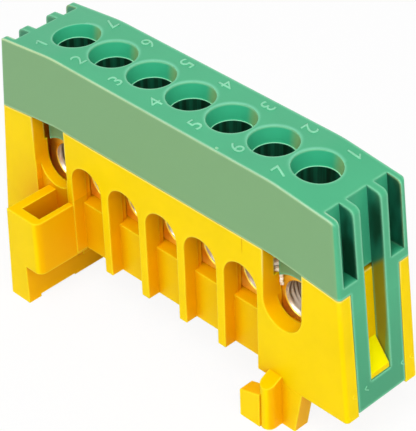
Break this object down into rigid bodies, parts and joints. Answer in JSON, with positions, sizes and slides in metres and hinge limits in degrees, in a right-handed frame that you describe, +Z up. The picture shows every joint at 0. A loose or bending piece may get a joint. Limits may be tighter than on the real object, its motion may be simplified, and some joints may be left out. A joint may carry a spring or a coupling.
{
  "type": "insulated terminal bar",
  "caption": "Insulated earth terminal bar: a metal bar with wire bores and clamp screws in a yellow base with a green clip-on cover, hooked onto a mounting rail.",
  "frame": {"origin": "on the floor under the middle of the part, where the feet stand", "axes": "+X along the terminal row towards terminal 7, +Y along the rail away from the front, +Z up"},
  "size_m": [0.0588, 0.0236, 0.0336],
  "materials": {
    "green_plastic": "satin moulded plastic",
    "yellow_plastic": "satin moulded plastic",
    "plated_brass": "bright plated brass",
    "plated_steel": "plated steel"
  },
  "bodies": {
    "body": {"cover": "green_plastic", "base": "yellow_plastic", "terminal_bar": "plated_brass"},
    "screw_1": {"clamp_screw_1": "plated_steel"},
    "screw_2": {"clamp_screw_2": "plated_steel"},
    "screw_3": {"clamp_screw_3": "plated_steel"},
    "screw_4": {"clamp_screw_4": "plated_steel"},
    "screw_5": {"clamp_screw_5": "plated_steel"},
    "screw_6": {"clamp_screw_6": "plated_steel"},
    "screw_7": {"clamp_screw_7": "plated_steel"}
  },
  "joints": [
    {"name": "clamp_1", "type": "slide", "parent": "body", "child": "screw_1", "axis": [0, 0, 1], "range_m": [-0.0037, 0.0001]},
    {"name": "clamp_2", "type": "slide", "parent": "body", "child": "screw_2", "axis": [0, 0, 1], "range_m": [-0.0037, 0.0001]},
    {"name": "clamp_3", "type": "slide", "parent": "body", "child": "screw_3", "axis": [0, 0, 1], "range_m": [-0.0037, 0.0001]},
    {"name": "clamp_4", "type": "slide", "parent": "body", "child": "screw_4", "axis": [0, 0, 1], "range_m": [-0.0037, 0.0001]},
    {"name": "clamp_5", "type": "slide", "parent": "body", "child": "screw_5", "axis": [0, 0, 1], "range_m": [-0.0037, 0.0001]},
    {"name": "clamp_6", "type": "slide", "parent": "body", "child": "screw_6", "axis": [0, 0, 1], "range_m": [-0.0037, 0.0001]},
    {"name": "clamp_7", "type": "slide", "parent": "body", "child": "screw_7", "axis": [0, 0, 1], "range_m": [-0.0037, 0.0001]}
  ]
}
